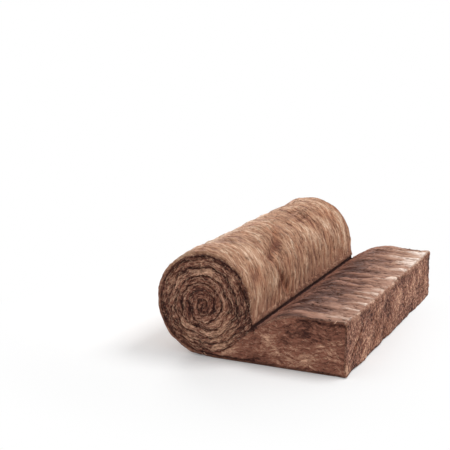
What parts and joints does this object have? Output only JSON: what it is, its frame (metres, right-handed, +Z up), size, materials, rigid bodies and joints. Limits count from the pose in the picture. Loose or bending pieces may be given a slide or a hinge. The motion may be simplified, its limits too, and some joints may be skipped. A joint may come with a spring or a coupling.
{
  "type": "insulation roll",
  "caption": "Brown glass mineral wool batt, wound into a tight roll at one side and laid flat at the other, where it has swollen to full thickness.",
  "frame": {"origin": "on the floor, in the middle of the box that holds the part", "axes": "+Z up, +Y along the roll, +X from the roll towards the cut end of the unrolled stretch"},
  "size_m": [0.796, 1.2, 0.426],
  "materials": {
    "mineral_wool": "matte"
  },
  "bodies": {
    "root": {"mineral_wool_roll": "mineral_wool"}
  },
  "joints": []
}
